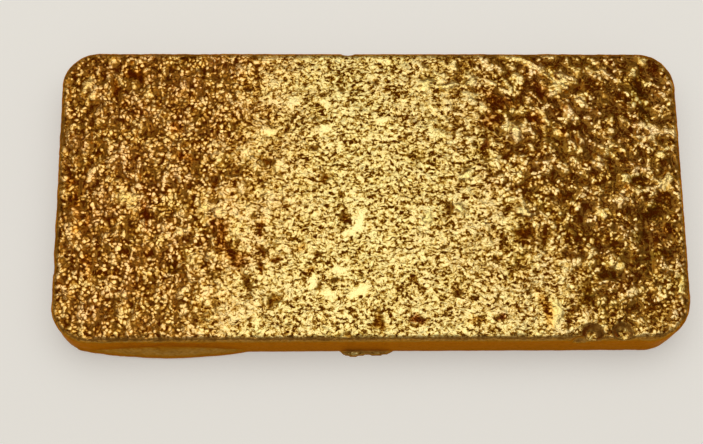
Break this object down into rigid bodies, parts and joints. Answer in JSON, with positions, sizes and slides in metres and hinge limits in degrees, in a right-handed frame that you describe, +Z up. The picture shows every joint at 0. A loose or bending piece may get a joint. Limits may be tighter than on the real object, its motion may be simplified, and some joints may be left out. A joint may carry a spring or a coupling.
{
  "type": "gold bar",
  "caption": "Flat cast gold bar lying mould face up, with drafted walls, worn corners, rolled rim, cast grain and a shrinkage sink in the pour face underneath.",
  "frame": {"origin": "under the middle of the bar, on the level of the border that it rests on", "axes": "+X along the bar's length, +Y across it towards the far wall, +Z up out of the mould face"},
  "size_m": [0.1108, 0.0545, 0.009],
  "materials": {
    "gold": "as-cast fine gold, yellow metal with a beaded skin that is bright on its heights and darker in its pores"
  },
  "bodies": {
    "root": {"gold_bar": "gold"}
  },
  "joints": []
}
